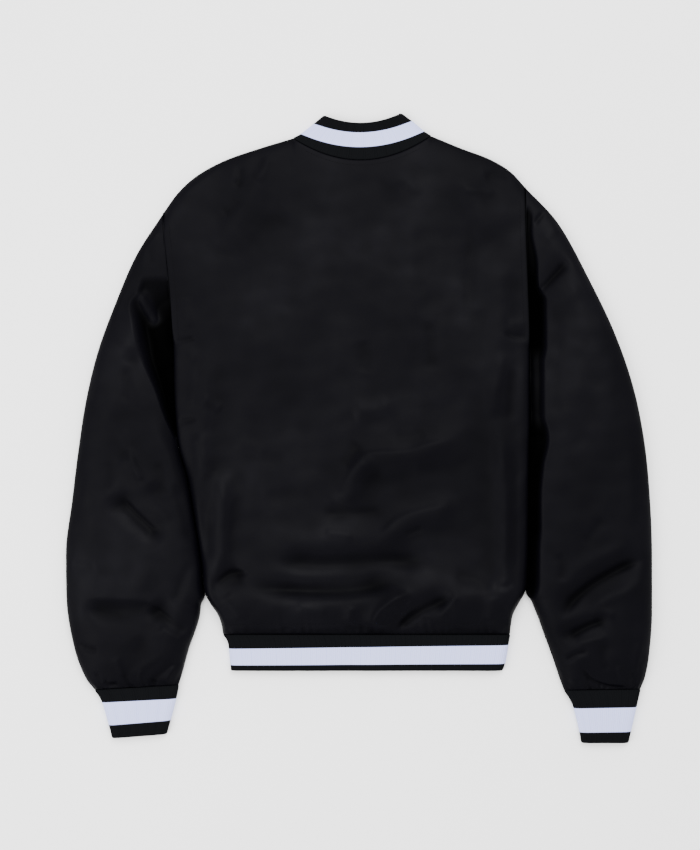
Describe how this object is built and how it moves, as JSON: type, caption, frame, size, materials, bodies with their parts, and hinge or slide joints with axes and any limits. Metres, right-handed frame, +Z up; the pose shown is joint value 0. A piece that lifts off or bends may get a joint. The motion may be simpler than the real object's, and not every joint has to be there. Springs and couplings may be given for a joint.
{
  "type": "varsity jacket laid flat",
  "caption": "Satin varsity jacket laid flat with its back up: blouson body, long sleeves, and striped rib collar, cuffs and waistband.",
  "frame": {"origin": "on the surface the jacket lies on, under the middle of its outline", "axes": "+Z up from that surface, +Y from the waistband towards the collar, +X towards the wearer's right arm"},
  "size_m": [0.762, 0.819, 0.0327],
  "materials": {
    "satin": "black satin with a soft broad sheen",
    "rib": "matt rib knit, black with one pale lavender white stripe",
    "snap": "black lacquered"
  },
  "bodies": {
    "root": {"back_panel": "satin", "front_left": "satin", "front_right": "satin", "sleeve_left": "satin", "sleeve_right": "satin", "collar_rib": "rib", "hem_rib": "rib", "cuff_left": "rib", "cuff_right": "rib", "snap_cap_1": "snap", "snap_cap_2": "snap", "snap_cap_3": "snap", "snap_cap_4": "snap", "snap_cap_5": "snap", "snap_cap_6": "snap", "snap_cap_7": "snap"}
  },
  "joints": []
}
